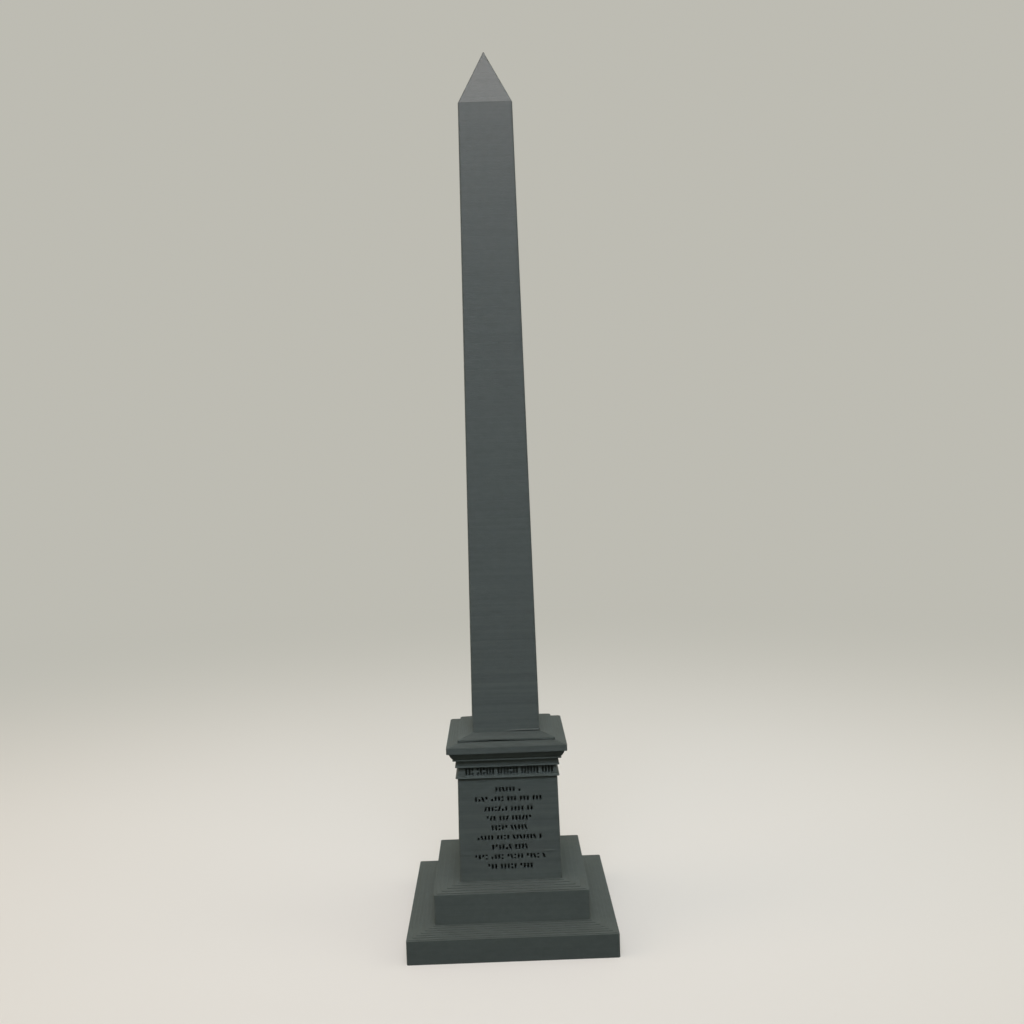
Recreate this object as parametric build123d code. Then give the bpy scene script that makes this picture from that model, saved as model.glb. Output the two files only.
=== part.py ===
"""Memorial obelisk, a small one-colour printed model, in millimetres.

Every member is square in plan and centred on the Z axis. The model stands on z = 0 and the members
rest on each other face to face: a stepped base of two slabs, a battered die, a moulded cap and a
tapered shaft with a pointed top. Ledges that slope only a little come out as flat terraces, one
printed layer high, so their steps are modelled.
"""
import os

from build123d import *

total_height = 315.0

# One printed layer, which is also the height of each terrace on a sloped ledge
layer = 0.2

# Stepped base: two slabs, each with a shallow sloped top
lower_base_width = 73.2
lower_base_height = 8.4
lower_wash_rise = 1.4
upper_base_width = 54.6
upper_base_height = 10.6
upper_wash_rise = 1.0

# Die, the block that carries the inscription. Each face leans in by die_lean over its height
die_foot_width = 36.7
die_lean = 0.6
die_height = 37.4

# Members between the die and the cap slab. A projection is measured from the die's top edge, and
# one below zero is set back from it
lip_projection = 0.6
lip_height = 0.8
frieze_foot_projection = 0.25
frieze_top_projection = -0.35
frieze_height = 3.2
lower_fillet_projection = 0.7
lower_fillet_height = 0.6
fascia_projection = 0.5
fascia_height = 2.0
upper_fillet_projection = 1.5
upper_fillet_height = 0.6
ovolo_foot_projection = 1.5
ovolo_top_projection = 2.8
ovolo_height = 2.4

# How far the bulging side of the ovolo leans out at its foot, in degrees from upright
ovolo_foot_lean = 45

# Cap slab with its sloped top
cap_slab_projection = 3.6
cap_slab_height = 2.2
cap_wash_rise = 1.0

# Plinth of the shaft with its sloped top. It is set back from the cap slab's edge
shaft_plinth_setback = 4.05
shaft_plinth_height = 0.8
plinth_wash_rise = 1.4

# Shaft, and its pointed top that ends in a small blunt tip. The shaft takes the height that the
# other members leave, and each of its faces leans in by shaft_lean over that height
shaft_foot_width = 24.3
shaft_lean = 2.7
pyramidion_height = 20.0
tip_width = 0.4

# Widths that follow from the values above
die_top_width = die_foot_width - 2 * die_lean
cap_slab_width = die_top_width + 2 * cap_slab_projection
shaft_plinth_width = cap_slab_width - 2 * shaft_plinth_setback
shaft_top_width = shaft_foot_width - 2 * shaft_lean


def frustum(foot_width, top_width, foot_level, height):
    """A square block whose four faces lean in or out evenly."""
    foot = Plane.XY.offset(foot_level) * Rectangle(foot_width, foot_width)
    top = Plane.XY.offset(foot_level + height) * Rectangle(top_width, top_width)
    return loft([foot.face(), top.face()], ruled=True)


def slab(width, foot_level, height):
    """A square block with upright faces."""
    block = Box(width, width, height, align=(Align.CENTER, Align.CENTER, Align.MIN))
    return Pos(0, 0, foot_level) * block


def terraces(outer_width, inner_width, foot_level, rise):
    """A sloped ledge in flat steps, from the width of its slab in to the width of what stands on it.

    Each step is as wide as the slope is at half the step's height.
    """
    count = max(1, round(rise / layer))
    step_height = rise / count
    narrowing = (outer_width - inner_width) / count
    steps = [
        slab(outer_width - narrowing * (step + 0.5), foot_level + step_height * step, step_height)
        for step in range(count)
    ]
    return steps[0].fuse(*steps[1:])


def ovolo(foot_width, top_width, foot_level, height):
    """A square moulding with a bulging side that leans out and turns up, mitred at its corners."""
    top_level = foot_level + height
    foot_edge = (foot_width / 2, foot_level)
    top_edge = (top_width / 2, top_level)
    foot_direction = Vector(0, 1).rotate(Axis.Z, -ovolo_foot_lean)
    bulge = TangentArc([foot_edge, top_edge], tangent=foot_direction)
    half_outline = Wire(
        [
            Edge.make_line((0, foot_level), foot_edge),
            bulge.edge(),
            Edge.make_line(top_edge, (0, top_level)),
            Edge.make_line((0, top_level), (0, foot_level)),
        ]
    )
    half_section = Plane.XZ * Face(half_outline)
    section = half_section + mirror(half_section, Plane.YZ)
    bar = extrude(section, amount=top_width, both=True)
    return bar & (Rot(0, 0, 90) * bar)


def over_die(projection):
    """The width of a square member whose faces project that far past the die's top edge."""
    return die_top_width + 2 * projection


def stack(courses, foot_level):
    """Builds the courses one on top of the other, and returns them by name with the level reached.

    A course is (name, height, maker), and its maker is called with its foot level and its height.
    """
    built = {}
    level = foot_level
    for name, height, maker in courses:
        built[name] = maker(level, height)
        level += height
    return built, level


def slab_course(name, width, height):
    return name, height, lambda level, rise: slab(width, level, rise)


def frustum_course(name, foot_width, top_width, height):
    return name, height, lambda level, rise: frustum(foot_width, top_width, level, rise)


def terraced_course(name, outer_width, inner_width, height):
    return name, height, lambda level, rise: terraces(outer_width, inner_width, level, rise)


def ovolo_course(name, foot_width, top_width, height):
    return name, height, lambda level, rise: ovolo(foot_width, top_width, level, rise)


base_courses = [
    slab_course("lower_base_slab", lower_base_width, lower_base_height),
    terraced_course("lower_base_wash", lower_base_width, upper_base_width, lower_wash_rise),
    slab_course("upper_base_slab", upper_base_width, upper_base_height),
    terraced_course("upper_base_wash", upper_base_width, die_foot_width, upper_wash_rise),
]
die_courses = [
    frustum_course("die", die_foot_width, die_top_width, die_height),
    slab_course("die_lip", over_die(lip_projection), lip_height),
    frustum_course(
        "frieze",
        over_die(frieze_foot_projection),
        over_die(frieze_top_projection),
        frieze_height,
    ),
]
cap_courses = [
    slab_course("lower_fillet", over_die(lower_fillet_projection), lower_fillet_height),
    slab_course("fascia", over_die(fascia_projection), fascia_height),
    slab_course("upper_fillet", over_die(upper_fillet_projection), upper_fillet_height),
    ovolo_course(
        "ovolo",
        over_die(ovolo_foot_projection),
        over_die(ovolo_top_projection),
        ovolo_height,
    ),
    slab_course("cap_slab", cap_slab_width, cap_slab_height),
    terraced_course("cap_wash", cap_slab_width, shaft_plinth_width, cap_wash_rise),
    slab_course("shaft_plinth", shaft_plinth_width, shaft_plinth_height),
    terraced_course("shaft_plinth_wash", shaft_plinth_width, shaft_foot_width, plinth_wash_rise),
]

lower_members, shaft_level = stack(base_courses + die_courses + cap_courses, foot_level=0)
shaft_height = total_height - shaft_level - pyramidion_height
upper_members, _ = stack(
    [
        frustum_course("shaft", shaft_foot_width, shaft_top_width, shaft_height),
        frustum_course("pyramidion", shaft_top_width, tip_width, pyramidion_height),
    ],
    foot_level=shaft_level,
)

os.makedirs("parts", exist_ok=True)
for name, shape in (lower_members | upper_members).items():
    export_step(shape, f"parts/{name}.step")
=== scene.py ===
"""The looks of a small printed obelisk. Every member of the model is sliced into layers and laid up
again as a printer does it, with the joints between layers and lines of plastic, the marks where the
print lifted, and plain engraved bars in the place of an inscription. Lengths are in metres."""

import math
import random
from collections import namedtuple

import bpy
from mathutils import Matrix, Vector


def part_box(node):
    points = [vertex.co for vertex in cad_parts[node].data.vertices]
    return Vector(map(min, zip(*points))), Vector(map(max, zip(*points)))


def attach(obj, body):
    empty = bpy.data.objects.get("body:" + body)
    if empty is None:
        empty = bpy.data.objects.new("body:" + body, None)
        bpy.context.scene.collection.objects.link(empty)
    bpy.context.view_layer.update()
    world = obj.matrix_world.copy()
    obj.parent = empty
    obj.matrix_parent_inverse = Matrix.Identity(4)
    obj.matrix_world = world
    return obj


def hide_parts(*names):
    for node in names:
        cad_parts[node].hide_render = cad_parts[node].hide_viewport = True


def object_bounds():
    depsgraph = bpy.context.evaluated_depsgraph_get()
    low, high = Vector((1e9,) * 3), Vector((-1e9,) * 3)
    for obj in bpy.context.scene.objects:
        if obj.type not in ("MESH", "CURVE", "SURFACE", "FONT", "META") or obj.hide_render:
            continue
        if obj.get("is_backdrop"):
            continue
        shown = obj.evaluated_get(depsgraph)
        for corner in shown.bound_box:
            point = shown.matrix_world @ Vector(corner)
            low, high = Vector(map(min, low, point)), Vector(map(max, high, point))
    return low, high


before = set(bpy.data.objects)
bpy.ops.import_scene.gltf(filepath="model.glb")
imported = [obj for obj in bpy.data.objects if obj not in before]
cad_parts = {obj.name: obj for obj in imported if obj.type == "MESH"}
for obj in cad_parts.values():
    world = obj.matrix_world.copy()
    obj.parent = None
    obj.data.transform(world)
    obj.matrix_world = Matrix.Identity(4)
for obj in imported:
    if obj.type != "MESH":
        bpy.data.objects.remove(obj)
cad_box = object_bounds()

MM = 0.001

# The print's layers
LAYER = 0.2 * MM
JOINT_DEPTH = 0.035 * MM            # how far the joint between two layers is set back
SIDE_SHARES = (0.28, 0.72)          # a layer's side is full between these shares of its height
LAYER_WANDER = 0.010 * MM           # how far a layer lies in by chance
WANDER_LIMIT = 2.5                  # and how many times that at the most
TOP_EDGE = 0.10 * MM                # how far the last layer of a member is rounded in at its top
BEAD_LEAN = 0.09 * MM               # how far each layer of a thin member draws in on its way up
CORNER_RADIUS = 0.6 * MM
CORNER_LIMIT = 0.9                  # and the most of a half width that it takes up, near the tip
CORNER_STEPS = 3
SEAM_CORNER = 2                     # the rear corner where each layer starts and ends
SEAM_REACH = (-0.05 * MM, 0.03 * MM)    # how far the plastic lies in or stands out there

# The lines of plastic on flat tops and terraces
LINE_WIDTH = 0.42 * MM
LINE_DEPTH = 0.035 * MM             # how deep the joint between two such lines is
TERRACE_FROM = LINE_WIDTH / 2       # layers that narrow by more than this leave a terrace
OVERHANG_FROM = LINE_WIDTH / 4      # layers that widen by more than this hang over
TOP_CENTRE = 1 / 3                  # the share of a top's width in its middle that has no lines
UNDERSIDE_RIM = 3.5 * MM            # the part of a member's underside that a flaw can lift

BODY = "root"

# Members from the table up, in the order they stand on each other
MEMBERS = [
    "lower_base_slab",
    "lower_base_wash",
    "upper_base_slab",
    "upper_base_wash",
    "die",
    "die_lip",
    "frieze",
    "lower_fillet",
    "fascia",
    "upper_fillet",
    "ovolo",
    "cap_slab",
    "cap_wash",
    "shaft_plinth",
    "shaft_plinth_wash",
    "shaft",
    "pyramidion",
]

BEADS = ("die_lip", "lower_fillet", "upper_fillet")

FRONT = 0
ALL_SIDES = range(4)


# ---------------------------------------------------------------- slicing the CAD members

LEVEL_TOLERANCE = 1e-7
END_GAP = 0.1               # a layer's narrowing is read this share of its height from its ends


def slopes(node):
    """The edges of a member's mesh that rise, as (low z, high z, x at low, x at high)."""
    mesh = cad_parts[node].data
    rising = []
    for edge in mesh.edges:
        low, high = sorted((mesh.vertices[i].co for i in edge.vertices), key=lambda point: point.z)
        if high.z - low.z > LEVEL_TOLERANCE:
            rising.append((low.z, high.z, low.x, high.x))
    return rising


def half_width(rising, level):
    """Half the width of a member where a level plane cuts its mesh."""
    widest = 0.0
    for low_z, high_z, low_x, high_x in rising:
        if low_z <= level <= high_z:
            share = (level - low_z) / (high_z - low_z)
            widest = max(widest, low_x + (high_x - low_x) * share)
    return widest


class Layer:
    """One printed layer of a member: its foot, its top and the half width of its outline.

    Its side leans with the member where that is steep. Where it is shallow, the layer is a step.
    """

    def __init__(self, foot, top, half, narrowing, seam):
        self.foot = foot
        self.top = top
        self.half = half
        self.lean = narrowing if abs(narrowing) < TERRACE_FROM else 0.0
        self.seam = seam
        self.bars = ()

    def half_at(self, share):
        """Half the width at a share of the way up."""
        return self.half + self.lean * (0.5 - share)

    @property
    def middle(self):
        return (self.foot + self.top) / 2


def slice_member(node, chance):
    """A member's layers, from its foot to its top."""
    low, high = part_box(node)
    count = max(1, round((high.z - low.z) / LAYER))
    step = (high.z - low.z) / count
    rising = slopes(node)
    layers = []
    for number in range(count):
        foot = low.z + step * number
        half = half_width(rising, foot + step / 2)
        low_half = half_width(rising, foot + END_GAP * step)
        high_half = half_width(rising, foot + (1 - END_GAP) * step)
        narrowing = (low_half - high_half) / (1 - 2 * END_GAP)
        if node in BEADS:
            half += BEAD_LEAN * (count / 2 - number - 0.5)
            narrowing += BEAD_LEAN
        wander = min(abs(chance.gauss(0, 1)), WANDER_LIMIT) * LAYER_WANDER
        seam = chance.uniform(*SEAM_REACH)
        layers.append(Layer(foot, foot + step, half - wander, narrowing, seam))
    return layers


# ---------------------------------------------------------------- engraved bars

BAR_WIDTH = 0.72 * MM
GROUP_SIZES = (3, 7)        # the fewest and the most bars in a group
GROUP_GAP = 0.85 * MM       # added between two groups of bars
SLANT = 0.25 * MM           # how far the ends of a slanted bar lie to the sides of its middle

# Where the bars of each kind start and end, as shares of the row's height
BAR_SPANS = {
    "whole": [(0, 1)],
    "upper": [(0.45, 1)],
    "lower": [(0, 0.55)],
    "broken": [(0, 0.35), (0.62, 1)],
    "slanted": [(0, 1)],
}

RowStyle = namedtuple("RowStyle", "height pitch depth kinds")

DIE_ROW = RowStyle(
    height=1.85 * MM,
    pitch=1.22 * MM,
    depth=3.0 * MM,
    kinds=["whole"] * 7 + ["upper", "lower", "broken", "slanted", "slanted"],
)

# The rows on the front of the die, from the top down, by their width in millimetres
DIE_ROW_WIDTHS = [10, 24, 18, 16.5, 13.5, 23.5, 13, 24.5, 16]
DIE_ROW_DISTANCE = 3.49 * MM
DIE_ROWS_BELOW_TOP = 3.53 * MM
DIE_SEED = 31

# The one row of the frieze. Its bars stay clear of those on the next side
FRIEZE_ROW = RowStyle(
    height=2.7 * MM,
    pitch=1.08 * MM,
    depth=1.8 * MM,
    kinds=["whole"] * 6 + ["broken", "slanted"],
)
FRIEZE_LEFT_MARGIN = 2.2 * MM
FRIEZE_RIGHT_MARGIN = 0.9 * MM
FRIEZE_SEED = 47


class Bar:
    """One engraved bar on a side of a member. Its place along the side may change with height."""

    def __init__(self, side, foot, top, place, lean, depth):
        self.side = side
        self.foot = foot
        self.top = top
        self.place = place
        self.lean = lean
        self.depth = depth

    def cuts(self, layer):
        return self.foot <= layer.middle <= self.top

    def middle_at(self, level):
        share = (level - self.foot) / (self.top - self.foot)
        return self.place + self.lean * (2 * share - 1)


def bar_places(width, pitch, chance):
    """The places of a row's bars from its first one on, in groups, as far as the width allows."""
    places = [0.0]
    group = chance.randint(*GROUP_SIZES)
    while places[-1] + pitch < width - BAR_WIDTH:
        group -= 1
        step = pitch
        if group == 0:
            step += GROUP_GAP
            group = chance.randint(*GROUP_SIZES)
        places.append(places[-1] + step)
    return places


def bar_row(side, foot, middle, width, style, chance):
    """A row of bars of mixed kinds that fills the given width of a side.

    Its slanted bars all lean the same way, so that none runs into the next one.
    """
    slant = chance.choice([-SLANT, SLANT])
    places = bar_places(width, style.pitch, chance)
    first = middle - places[-1] / 2
    bars = []
    for place in places:
        kind = chance.choice(style.kinds)
        lean = slant if kind == "slanted" else 0.0
        for start, end in BAR_SPANS[kind]:
            low = foot + start * style.height
            high = foot + end * style.height
            bars.append(Bar(side, low, high, first + place, lean, style.depth))
    return bars


def die_bars():
    _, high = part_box("die")
    chance = random.Random(DIE_SEED)
    bars = []
    for number, width in enumerate(DIE_ROW_WIDTHS):
        foot = high.z - DIE_ROWS_BELOW_TOP - number * DIE_ROW_DISTANCE - DIE_ROW.height
        bars += bar_row(FRONT, foot, 0.0, width * MM, DIE_ROW, chance)
    return bars


def frieze_bars():
    low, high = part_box("frieze")
    chance = random.Random(FRIEZE_SEED)
    foot = low.z + LAYER
    middle = (FRIEZE_LEFT_MARGIN - FRIEZE_RIGHT_MARGIN) / 2
    width = 2 * half_width(slopes("frieze"), high.z) - FRIEZE_LEFT_MARGIN - FRIEZE_RIGHT_MARGIN
    bars = []
    for side in ALL_SIDES:
        bars += bar_row(side, foot, middle, width, FRIEZE_ROW, chance)
    return bars


# ---------------------------------------------------------------- rings

class Ring:
    """A level outline of a member: a square with rounded corners and the bars that cut into it.

    Its points have keys, so that two rings with different bars can still be joined.
    """

    def __init__(self, level, half, bars=(), seam=0.0, side_points=()):
        self.level = level
        self.half = half
        self.bars = bars
        self.seam = seam
        self.side_points = side_points
        self.indices = {}

    def points(self):
        """The outline's points, counter-clockwise from above, as (key, x, y)."""
        radius = min(CORNER_RADIUS, self.half * CORNER_LIMIT)
        straight = self.half - radius
        found = []
        for side in ALL_SIDES:
            local = []
            for bar in sorted((bar for bar in self.bars if bar.side == side), key=lambda bar: bar.place):
                local += self.mouth(bar)
            if side == FRONT and not self.bars:
                local += [(("side", place), place, -self.half) for place in self.side_points]
            for step in range(CORNER_STEPS + 1):
                angle = -math.pi / 2 + step * math.pi / 2 / CORNER_STEPS
                reach = radius
                if side == SEAM_CORNER and 0 < step < CORNER_STEPS:
                    reach += self.seam
                x = straight + reach * math.cos(angle)
                y = -straight + reach * math.sin(angle)
                local.append((("corner", side, step), x, y))
            found += [(key, *turned(x, y, side)) for key, x, y in local]
        return found

    def mouth(self, bar):
        """The four points where a bar cuts into the front side, from left to right."""
        middle = bar.middle_at(min(max(self.level, bar.foot), bar.top))
        left = middle - BAR_WIDTH / 2
        right = middle + BAR_WIDTH / 2
        deep = -self.half + bar.depth
        return [
            ((bar, "mouth", 0), left, -self.half),
            ((bar, "floor", 0), left, deep),
            ((bar, "floor", 1), right, deep),
            ((bar, "mouth", 1), right, -self.half),
        ]


def turned(x, y, side):
    """A point of the front side turned to another side by quarter turns."""
    for _ in range(side):
        x, y = -y, x
    return x, y


def top_lines(level, outer, inner):
    """Levels and half widths of the lines of plastic on a flat top, from outer in to inner."""
    count = max(1, round((outer - inner) / LINE_WIDTH))
    width = (outer - inner) / count
    lines = []
    for number in range(count):
        lines.append((level, outer - (number + 0.5) * width))
        if number < count - 1:
            lines.append((level - LINE_DEPTH, outer - (number + 1) * width))
    return lines


def member_rings(layers, top_border, side_points_at):
    """The rings of a member's skin, from its foot up and in over its top."""
    rings = []

    def ring(level, half, bars=(), seam=0.0):
        rings.append(Ring(level, half, bars, seam, side_points_at(level)))

    def flat(lines):
        for level, half in lines:
            ring(level, half)

    first = layers[0]
    ring(first.foot, first.half - UNDERSIDE_RIM)
    ring(first.foot, first.half_at(0) - JOINT_DEPTH)
    for number, layer in enumerate(layers):
        height = layer.top - layer.foot
        for share in SIDE_SHARES:
            ring(layer.foot + share * height, layer.half_at(share), layer.bars, layer.seam)
        joint = layer.half_at(1) - JOINT_DEPTH
        if number + 1 == len(layers):
            edge = layer.half_at(1) - TOP_EDGE
            border = max(top_border, LINE_WIDTH)
            ring(layer.top - LINE_DEPTH, edge)
            flat(top_lines(layer.top, edge, max(edge - border, edge * TOP_CENTRE)))
            continue
        following = layers[number + 1]
        next_joint = following.half_at(0) - JOINT_DEPTH
        narrowing = layer.half_at(1) - following.half_at(0)
        if narrowing > TERRACE_FROM:
            ring(layer.top - LINE_DEPTH, joint)
            flat(top_lines(layer.top, joint, next_joint))
            ring(layer.top, next_joint)
        elif narrowing < -OVERHANG_FROM:
            ring(layer.top, joint)
            ring(layer.top, next_joint)
        else:
            shared = tuple(dict.fromkeys(layer.bars + following.bars))
            ring(layer.top, min(joint, next_joint), shared)
    return rings


# ---------------------------------------------------------------- meshes through rings

def stretch(ring, start, end, active):
    """A ring's points from one key to another, along the surface over the mouths of other bars."""
    keys = list(ring.indices)
    at = keys.index(start)
    found = [ring.indices[start]]
    while keys[at] != end:
        at = (at + 1) % len(keys)
        kind = keys[at][1]
        closed = kind == "floor" and keys[at][0] not in active
        if not closed:
            found.append(ring.indices[keys[at]])
    return found


def wall(lower, upper):
    """Faces between two rings, round the bars that both of them have."""
    if list(lower.indices) == list(upper.indices):
        low = list(lower.indices.values())
        high = list(upper.indices.values())
        pairs = zip(range(len(low)), [*range(1, len(low)), 0])
        return [(low[a], low[b], high[b], high[a]) for a, b in pairs]
    active = [bar for bar in lower.bars if bar in upper.bars]
    route = [key for key in lower.indices if key in upper.indices]
    faces = []
    for start, end in zip(route, route[1:] + route[:1]):
        low = stretch(lower, start, end, active)
        high = stretch(upper, start, end, active)
        faces.append((*low, *reversed(high)))
    return faces


def ledges(ring, below, above):
    """The flat ends of the bars that start or stop at a ring."""
    faces = []
    for bar in ring.bars:
        corners = [ring.indices[key] for key in ring.indices if key[0] is bar]
        if bar in above.bars and bar not in below.bars:
            faces.append(tuple(reversed(corners)))
        if bar in below.bars and bar not in above.bars:
            faces.append(tuple(corners))
    return faces


def skin(name, rings, reshape):
    """A closed mesh through rings, from the first one's flat cap to the last one's.

    reshape takes a ring and a point of it, and gives the point's place in the mesh.
    """
    vertices = []
    for ring in rings:
        for key, x, y in ring.points():
            ring.indices[key] = len(vertices)
            vertices.append(reshape(ring, x, y))
    faces = [tuple(reversed(rings[0].indices.values()))]
    for lower, upper in zip(rings, rings[1:]):
        faces += wall(lower, upper)
    for below, ring, above in zip(rings, rings[1:], rings[2:]):
        if ring.bars:
            faces += ledges(ring, below, above)
    faces.append(tuple(rings[-1].indices.values()))
    mesh = bpy.data.meshes.new(name)
    mesh.from_pydata(vertices, [], faces)
    mesh.validate()
    mesh.update()
    piece = bpy.data.objects.new(name, mesh)
    bpy.context.scene.collection.objects.link(piece)
    return piece


# ---------------------------------------------------------------- flaws of the print

FLAW_POINTS = 18            # stretches of the front that a flaw is bent in


class Flaw:
    """A stretch of a member's front where the print went a little wrong.

    It runs from left to right and from foot to top. shift takes a point's share of the way along
    and of the way up, and gives how far the point moves out of the face and how far up.
    """

    def __init__(self, left, right, foot, height, shift):
        self.left = left
        self.right = right
        self.foot = foot
        self.top = foot + height
        self.shift = shift

    def places(self, level):
        """The places along the front that need a point of their own at this level."""
        if not self.foot <= level <= self.top:
            return ()
        step = (self.right - self.left) / FLAW_POINTS
        return tuple(self.left + step * number for number in range(FLAW_POINTS + 1))

    def moved(self, x, y, level):
        if not (self.left <= x <= self.right and self.foot <= level <= self.top):
            return x, y, level
        out, up = self.shift(
            (x - self.left) / (self.right - self.left),
            (level - self.foot) / (self.top - self.foot),
        )
        return x, y - out, level + up


def swell(share):
    """Nothing at both ends of a stretch and 1 in its middle, with soft slopes."""
    return math.sin(math.pi * share) ** 2


def ramp(share):
    """From nothing at the left end of a stretch to 1, which it reaches a little before the middle."""
    return swell(min(0.5, 1.2 * share))


def plinth_flaw():
    """The plinth's lower edge came off the cap all along, and most of all left of its middle."""
    low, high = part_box("shaft_plinth")
    all_along = 0.20 * MM
    most = 0.28 * MM
    end_slope = 12
    hump_length = 1 / 1.3

    def shift(along, up):
        ends = min(1, end_slope * along, end_slope * (1 - along))
        hump = swell(min(1, along / hump_length))
        return 0, (all_along * ends + most * hump) * (1 - up)

    return Flaw(low.x, high.x, low.z, high.z - low.z, shift)


def shaft_flaw():
    """The right half of the shaft's foot is lifted, and pressed out into a thin brim."""
    low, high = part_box("shaft")
    left = -1 * MM
    height = 4 * LAYER
    lift = 0.30 * MM
    brim = 0.42 * MM
    brim_height = 1 / 1.6

    def shift(along, up):
        return brim * ramp(along) * max(0, 1 - up / brim_height), lift * ramp(along) * (1 - up)

    return Flaw(left, high.x, low.z, height, shift)


def die_flaw():
    """A few lines of plastic sag out of the die's face, right of the bars."""
    foot = 31.2 * MM
    height = 1.0 * MM
    half = half_width(slopes("die"), foot - LAYER)
    left = half - 7.0 * MM
    right = half - 1.0 * MM
    bulge = 0.14 * MM
    sag = 0.10 * MM

    def shift(along, up):
        return bulge * swell(along) * swell(up), -sag * swell(along) * swell(up)

    return Flaw(left, right, foot, height, shift)


# ---------------------------------------------------------------- shader nodes

def empty_tree(owner):
    """The node tree of a material or world, with nothing in it."""
    owner.use_nodes = True
    owner.node_tree.nodes.clear()
    return owner.node_tree


def calculated(tree, operation, first, second):
    """The sum, difference or product of two outputs, or of an output and a number."""
    node = tree.nodes.new("ShaderNodeMath")
    node.operation = operation
    for socket, value in zip(node.inputs, (first, second)):
        if isinstance(value, float):
            socket.default_value = value
        else:
            tree.links.new(value, socket)
    return node.outputs[0]


def noise(tree, place, per_metre, detail=1.0):
    """Noise around 0. per_metre is how many features of it there are along x, y and z."""
    mapping = tree.nodes.new("ShaderNodeMapping")
    mapping.inputs["Scale"].default_value = per_metre
    tree.links.new(place, mapping.inputs["Vector"])
    texture = tree.nodes.new("ShaderNodeTexNoise")
    texture.inputs["Scale"].default_value = 1.0
    texture.inputs["Detail"].default_value = detail
    tree.links.new(mapping.outputs["Vector"], texture.inputs["Vector"])
    return calculated(tree, "SUBTRACT", texture.outputs["Fac"], 0.5)


def spread(tree, value, start, end, low, high, kind="LINEAR"):
    """Goes from low to high while the value goes from start to end."""
    node = tree.nodes.new("ShaderNodeMapRange")
    node.interpolation_type = kind
    node.inputs["From Min"].default_value = start
    node.inputs["From Max"].default_value = end
    node.inputs["To Min"].default_value = low
    node.inputs["To Max"].default_value = high
    tree.links.new(value, node.inputs["Value"])
    return node.outputs["Result"]


def axis(tree, place, name):
    """One coordinate of a place."""
    node = tree.nodes.new("ShaderNodeSeparateXYZ")
    tree.links.new(place, node.inputs[0])
    return node.outputs[name]


def plain_shader(tree, kind, colour):
    node = tree.nodes.new(kind)
    node.inputs["Color"].default_value = (*colour, 1)
    return node.outputs[0]


def mixed(tree, share, first, second):
    """The first shader where the share is 0 and the second where it is 1."""
    mix = tree.nodes.new("ShaderNodeMixShader")
    tree.links.new(share, mix.inputs["Fac"])
    tree.links.new(first, mix.inputs[1])
    tree.links.new(second, mix.inputs[2])
    return mix.outputs[0]


def seen_and_unseen(tree, seen, unseen):
    """Shows one shader to the camera and another to all other light."""
    ray = tree.nodes.new("ShaderNodeLightPath")
    return mixed(tree, ray.outputs["Is Camera Ray"], unseen, seen)


# ---------------------------------------------------------------- the plastic

PLASTIC = (0.0776, 0.0888, 0.0844)
SHADE_SPREAD = 0.2              # how much lighter or darker it gets by the unevenness below
ROUGHNESS = (0.50, 0.64)
SPECULAR = 0.34
BUMP_STRENGTH = 0.25
BUMP_HEIGHT = 0.02 * MM

# Its kinds of unevenness, by their features per metre along x, y and z
STREAKS = (25, 25, 1000)
BANDS = (9, 9, 400)
MOTTLE = (420, 420, 700)
GRAIN = (3500, 3500, 3500)
MOTTLE_STRENGTH = 0.6
GRAIN_STRENGTH = 0.3
FINE = 2.0                      # the detail of the last two

# The unevenness that gives the darkest and the lightest shade, and the glossiest and dullest layer
SURFACE_RANGE = (-0.5, 0.5)
LAYER_RANGE = (-0.3, 0.3)

# Streaks and bands show most from the die to the lower shaft, less towards the tip and on the base
STRENGTH_ON_DIE = 1.3
STRENGTH_AT_TIP = 0.4
STRENGTH_ON_BASE = 0.45
FADE_FROM = 0.10                # the heights between which they fade towards the tip
FADE_TO = 0.17


def layer_strength(tree, place):
    """How strongly the layers show at each height."""
    level = axis(tree, place, "Z")
    die_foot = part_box("die")[0].z
    above = spread(tree, level, FADE_FROM, FADE_TO, STRENGTH_ON_DIE, STRENGTH_AT_TIP)
    below = spread(tree, level, die_foot - MM, die_foot + MM, STRENGTH_ON_BASE / STRENGTH_ON_DIE, 1.0)
    return calculated(tree, "MULTIPLY", above, below)


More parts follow.
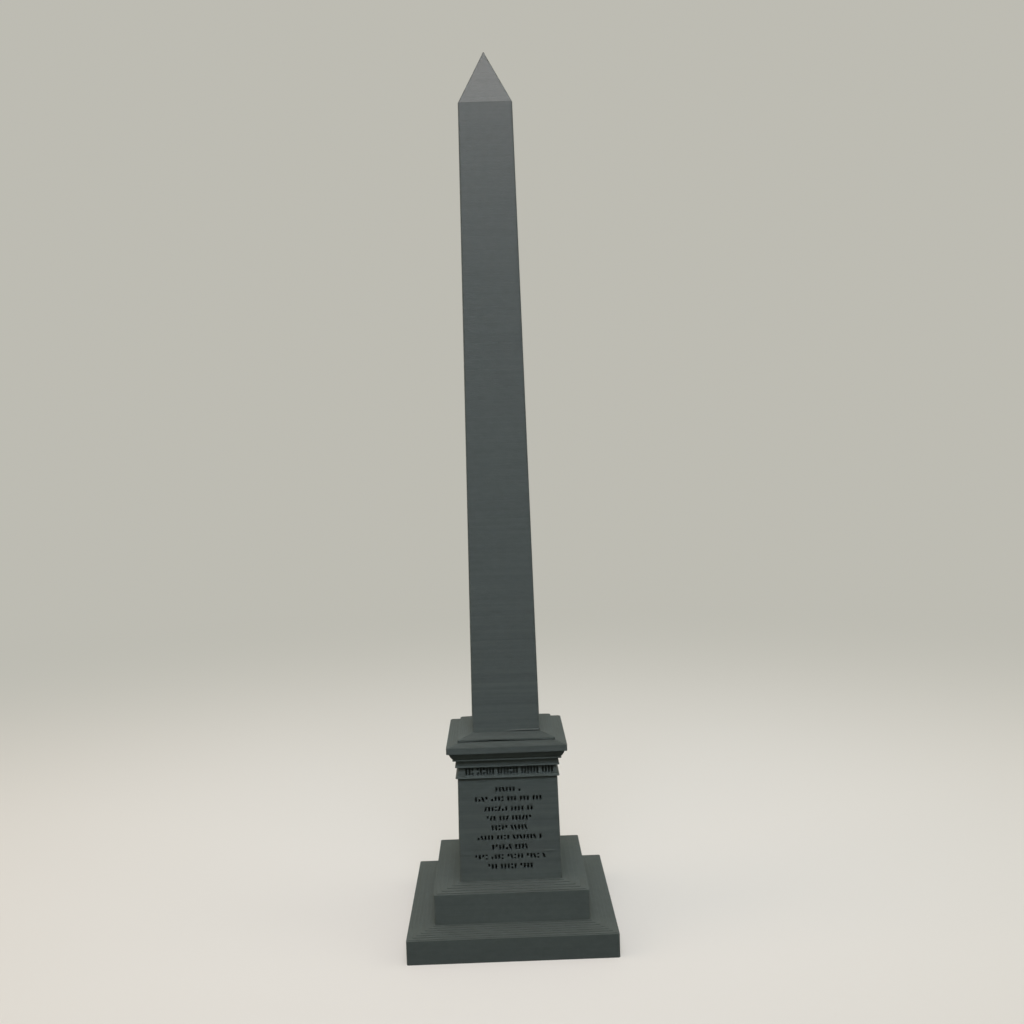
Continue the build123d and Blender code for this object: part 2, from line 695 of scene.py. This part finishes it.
def printed_plastic():
    """Matt grey plastic whose shade and sheen change a little from layer to layer."""
    material = bpy.data.materials.new("printed_plastic")
    tree = empty_tree(material)
    link = tree.links.new
    output = tree.nodes.new("ShaderNodeOutputMaterial")
    shader = tree.nodes.new("ShaderNodeBsdfPrincipled")
    link(shader.outputs["BSDF"], output.inputs["Surface"])
    place = tree.nodes.new("ShaderNodeTexCoord").outputs["Object"]

    lines = calculated(tree, "ADD", noise(tree, place, STREAKS), noise(tree, place, BANDS))
    layers = calculated(tree, "MULTIPLY", lines, layer_strength(tree, place))
    mottle = calculated(tree, "MULTIPLY", noise(tree, place, MOTTLE, FINE), MOTTLE_STRENGTH)
    grain = calculated(tree, "MULTIPLY", noise(tree, place, GRAIN, FINE), GRAIN_STRENGTH)
    surface = calculated(tree, "ADD", layers, calculated(tree, "ADD", mottle, grain))

    shade = tree.nodes.new("ShaderNodeValToRGB")
    dark, light = shade.color_ramp.elements
    dark.color = (*(part * (1 - SHADE_SPREAD) for part in PLASTIC), 1)
    light.color = (*(part * (1 + SHADE_SPREAD) for part in PLASTIC), 1)
    link(spread(tree, surface, *SURFACE_RANGE, 0.0, 1.0), shade.inputs["Fac"])
    shader.inputs["Base Color"].default_value = (*PLASTIC, 1)
    link(shade.outputs["Color"], shader.inputs["Base Color"])
    link(spread(tree, layers, *LAYER_RANGE, *ROUGHNESS), shader.inputs["Roughness"])

    bump = tree.nodes.new("ShaderNodeBump")
    bump.inputs["Strength"].default_value = BUMP_STRENGTH
    bump.inputs["Distance"].default_value = BUMP_HEIGHT
    link(surface, bump.inputs["Height"])
    link(bump.outputs["Normal"], shader.inputs["Normal"])
    shader.inputs["Specular IOR Level"].default_value = SPECULAR
    return material


# ---------------------------------------------------------------- building the members

def sliced_members():
    """Each member's layers, with the bars that cut into them."""
    bars = {"die": die_bars(), "frieze": frieze_bars()}
    sliced = {node: slice_member(node, random.Random(seed)) for seed, node in enumerate(MEMBERS)}
    for node in bars:
        for layer in sliced[node]:
            layer.bars = tuple(bar for bar in bars[node] if bar.cuts(layer))
    return sliced


def build_member(node, layers, border, flaw):
    """A member's mesh. The border is how much of its top shows round the member that it carries."""

    def side_points_at(level):
        return flaw.places(level) if flaw else ()

    rings = member_rings(layers, border, side_points_at)

    def reshape(ring, x, y):
        on_front = ring is not rings[0] and y <= -ring.half + CORNER_RADIUS
        return flaw.moved(x, y, ring.level) if flaw and on_front else (x, y, ring.level)

    return skin("printed_" + node, rings, reshape)


def build_members():
    material = printed_plastic()
    flaws = {"shaft_plinth": plinth_flaw(), "shaft": shaft_flaw(), "die": die_flaw()}
    sliced = sliced_members()
    for node, carried in zip(MEMBERS, [*MEMBERS[1:], None]):
        layers = sliced[node]
        carried_half = sliced[carried][0].half if carried else layers[-1].half
        border = layers[-1].half - carried_half + LINE_WIDTH
        piece = build_member(node, layers, border, flaws.get(node))
        piece.data.materials.append(material)
        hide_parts(node)
        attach(piece, BODY)


# ---------------------------------------------------------------- stage, light and camera

# The floor and the background as the camera sees them. The floor glows with most of its colour and
# takes the rest from the light, so it keeps the shadow. Far away it only glows, up to the horizon
FLOOR_GLOW = (0.28, 0.262, 0.243)
FLOOR_COLOUR = (0.50, 0.48, 0.47)
GLOW_FROM = 0.2         # how far from the model the floor starts to change to glow alone
GLOW_ALONE = 0.8        # and how far away it only glows

# What the floor gives the model: little bounce in front of it. Behind it, the floor's glow and bounce as
# the camera sees them, a painted light from below and behind
DARK_BOUNCE = (0.035, 0.03, 0.03)
# Behind the model's axis the floor glows onto the model as well as bouncing light: painted light from a
# floor that is no lamp
GLOW_BEHIND_FROM = 0.0         # how far behind the model's axis it starts to turn pale
GLOW_BEHIND_AT = 0.12

# The even light all round, and the floor's colour where it meets the background
AMBIENT = (0.459, 0.498, 0.435)
HORIZON = [glow + colour * light for glow, colour, light in zip(FLOOR_GLOW, FLOOR_COLOUR, AMBIENT)]
FLOOR_REACH = 12.0      # from the model to the floor's edges


def floor_finish():
    material = bpy.data.materials.new("floor_finish")
    tree = empty_tree(material)
    link = tree.links.new
    output = tree.nodes.new("ShaderNodeOutputMaterial")
    place = tree.nodes.new("ShaderNodeTexCoord").outputs["Object"]
    distance = tree.nodes.new("ShaderNodeVectorMath")
    distance.operation = "LENGTH"
    link(place, distance.inputs[0])

    glowing_floor = tree.nodes.new("ShaderNodeAddShader")
    link(plain_shader(tree, "ShaderNodeEmission", FLOOR_GLOW), glowing_floor.inputs[0])
    link(plain_shader(tree, "ShaderNodeBsdfDiffuse", FLOOR_COLOUR), glowing_floor.inputs[1])
    far = plain_shader(tree, "ShaderNodeEmission", HORIZON)
    dark = plain_shader(tree, "ShaderNodeBsdfDiffuse", DARK_BOUNCE)

    far_away = spread(tree, distance.outputs["Value"], GLOW_FROM, GLOW_ALONE, 0.0, 1.0, "SMOOTHSTEP")
    behind = spread(tree, axis(tree, place, "Y"), GLOW_BEHIND_FROM, GLOW_BEHIND_AT, 0.0, 1.0, "SMOOTHSTEP")
    seen = mixed(tree, far_away, glowing_floor.outputs[0], far)
    # For all rays but the camera's: a dark bounce in front, and behind the model the glowing floor, a
    # painted light on its rear and sides
    unseen = mixed(tree, behind, dark, glowing_floor.outputs[0])
    link(seen_and_unseen(tree, seen, unseen), output.inputs["Surface"])
    return material


def build_floor():
    mesh = bpy.data.meshes.new("floor")
    corners = [(-1, -1), (1, -1), (1, 1), (-1, 1)]
    mesh.from_pydata([(x * FLOOR_REACH, y * FLOOR_REACH, 0) for x, y in corners], [], [(0, 1, 2, 3)])
    mesh.materials.append(floor_finish())
    floor = bpy.data.objects.new("floor", mesh)
    bpy.context.scene.collection.objects.link(floor)
    floor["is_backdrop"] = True


def build_world():
    """Even light all round. The camera sees it in the colour of the floor's far end."""
    world = bpy.data.worlds.new("studio")
    tree = empty_tree(world)
    output = tree.nodes.new("ShaderNodeOutputWorld")
    seen = plain_shader(tree, "ShaderNodeBackground", HORIZON)
    light = plain_shader(tree, "ShaderNodeBackground", AMBIENT)
    tree.links.new(seen_and_unseen(tree, seen, light), output.inputs["Surface"])
    bpy.context.scene.world = world


def area_light(name, place, target, size, power, colour, angle=180):
    """A rectangular lamp that shines on a target within an angle in degrees."""
    data = bpy.data.lights.new(name, "AREA")
    data.spread = math.radians(angle)
    data.shape = "RECTANGLE"
    data.size, data.size_y = size
    data.energy = power
    data.color = colour
    lamp = bpy.data.objects.new(name, data)
    lamp.location = place
    lamp.rotation_mode = "QUATERNION"
    lamp.rotation_quaternion = (Vector(target) - Vector(place)).to_track_quat("-Z", "Y")
    bpy.context.scene.collection.objects.link(lamp)


def build_lights():
    area_light(
        "front_light",
        place=(0, -0.35, 0.55),
        target=(0, 0, 0.2),
        size=(0.3, 0.2),
        power=0.302,
        colour=(0.74, 0.87, 1.0),
        angle=70,
    )
    area_light(
        "top_light",
        place=(0, -0.07, 0.40),
        target=(0, 0, 0.28),
        size=(0.12, 0.08),
        power=0.225,
        colour=(1.0, 0.8, 0.8),
    )
    area_light(
        "left_light",
        place=(-0.6, -0.1, 0.4),
        target=(0, 0, 0.15),
        size=(0.4, 0.5),
        power=1.3,
        colour=(1.0, 0.78, 0.62),
    )
    area_light(
        "right_light",
        place=(0.6, -0.1, 0.4),
        target=(0, 0, 0.15),
        size=(0.4, 0.5),
        power=0.97,
        colour=(1.0, 0.94, 0.84),
    )


CAMERA_PLACE = Vector((-0.00029, -0.39614, 0.17447))
CAMERA_HEADING = math.radians(0.712)
CAMERA_DIP = math.radians(4.342)
CAMERA_ROLL = math.radians(1.868)
CAMERA_SENSOR = 36          # millimetres, as the lens
CAMERA_LENS = 38.2
CAMERA_SHIFT = 0.02
CAMERA_SIGHT = (0.01, 40)   # the nearest and the farthest that it sees


def build_camera():
    data = bpy.data.cameras.new("camera")
    data.sensor_width = CAMERA_SENSOR
    data.lens = CAMERA_LENS
    data.shift_y = CAMERA_SHIFT
    data.clip_start, data.clip_end = CAMERA_SIGHT
    camera = bpy.data.objects.new("camera", data)
    ahead = Vector(
        (
            math.sin(CAMERA_HEADING) * math.cos(CAMERA_DIP),
            math.cos(CAMERA_HEADING) * math.cos(CAMERA_DIP),
            -math.sin(CAMERA_DIP),
        )
    )
    level_right = Vector((math.cos(CAMERA_HEADING), -math.sin(CAMERA_HEADING), 0))
    level_up = level_right.cross(ahead)
    right = level_right * math.cos(CAMERA_ROLL) - level_up * math.sin(CAMERA_ROLL)
    up = level_right * math.sin(CAMERA_ROLL) + level_up * math.cos(CAMERA_ROLL)
    axes = Matrix((right, up, -ahead)).transposed()
    camera.matrix_world = Matrix.Translation(CAMERA_PLACE) @ axes.to_4x4()
    bpy.context.scene.collection.objects.link(camera)
    bpy.context.scene.camera = camera


build_members()
build_floor()
build_world()
build_lights()
build_camera()
bpy.context.scene.view_settings.view_transform = "Standard"

visual_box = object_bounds()
boxes = {"cad": cad_box, "visual": visual_box}
{name: [list(low), list(high)] for name, (low, high) in boxes.items()}
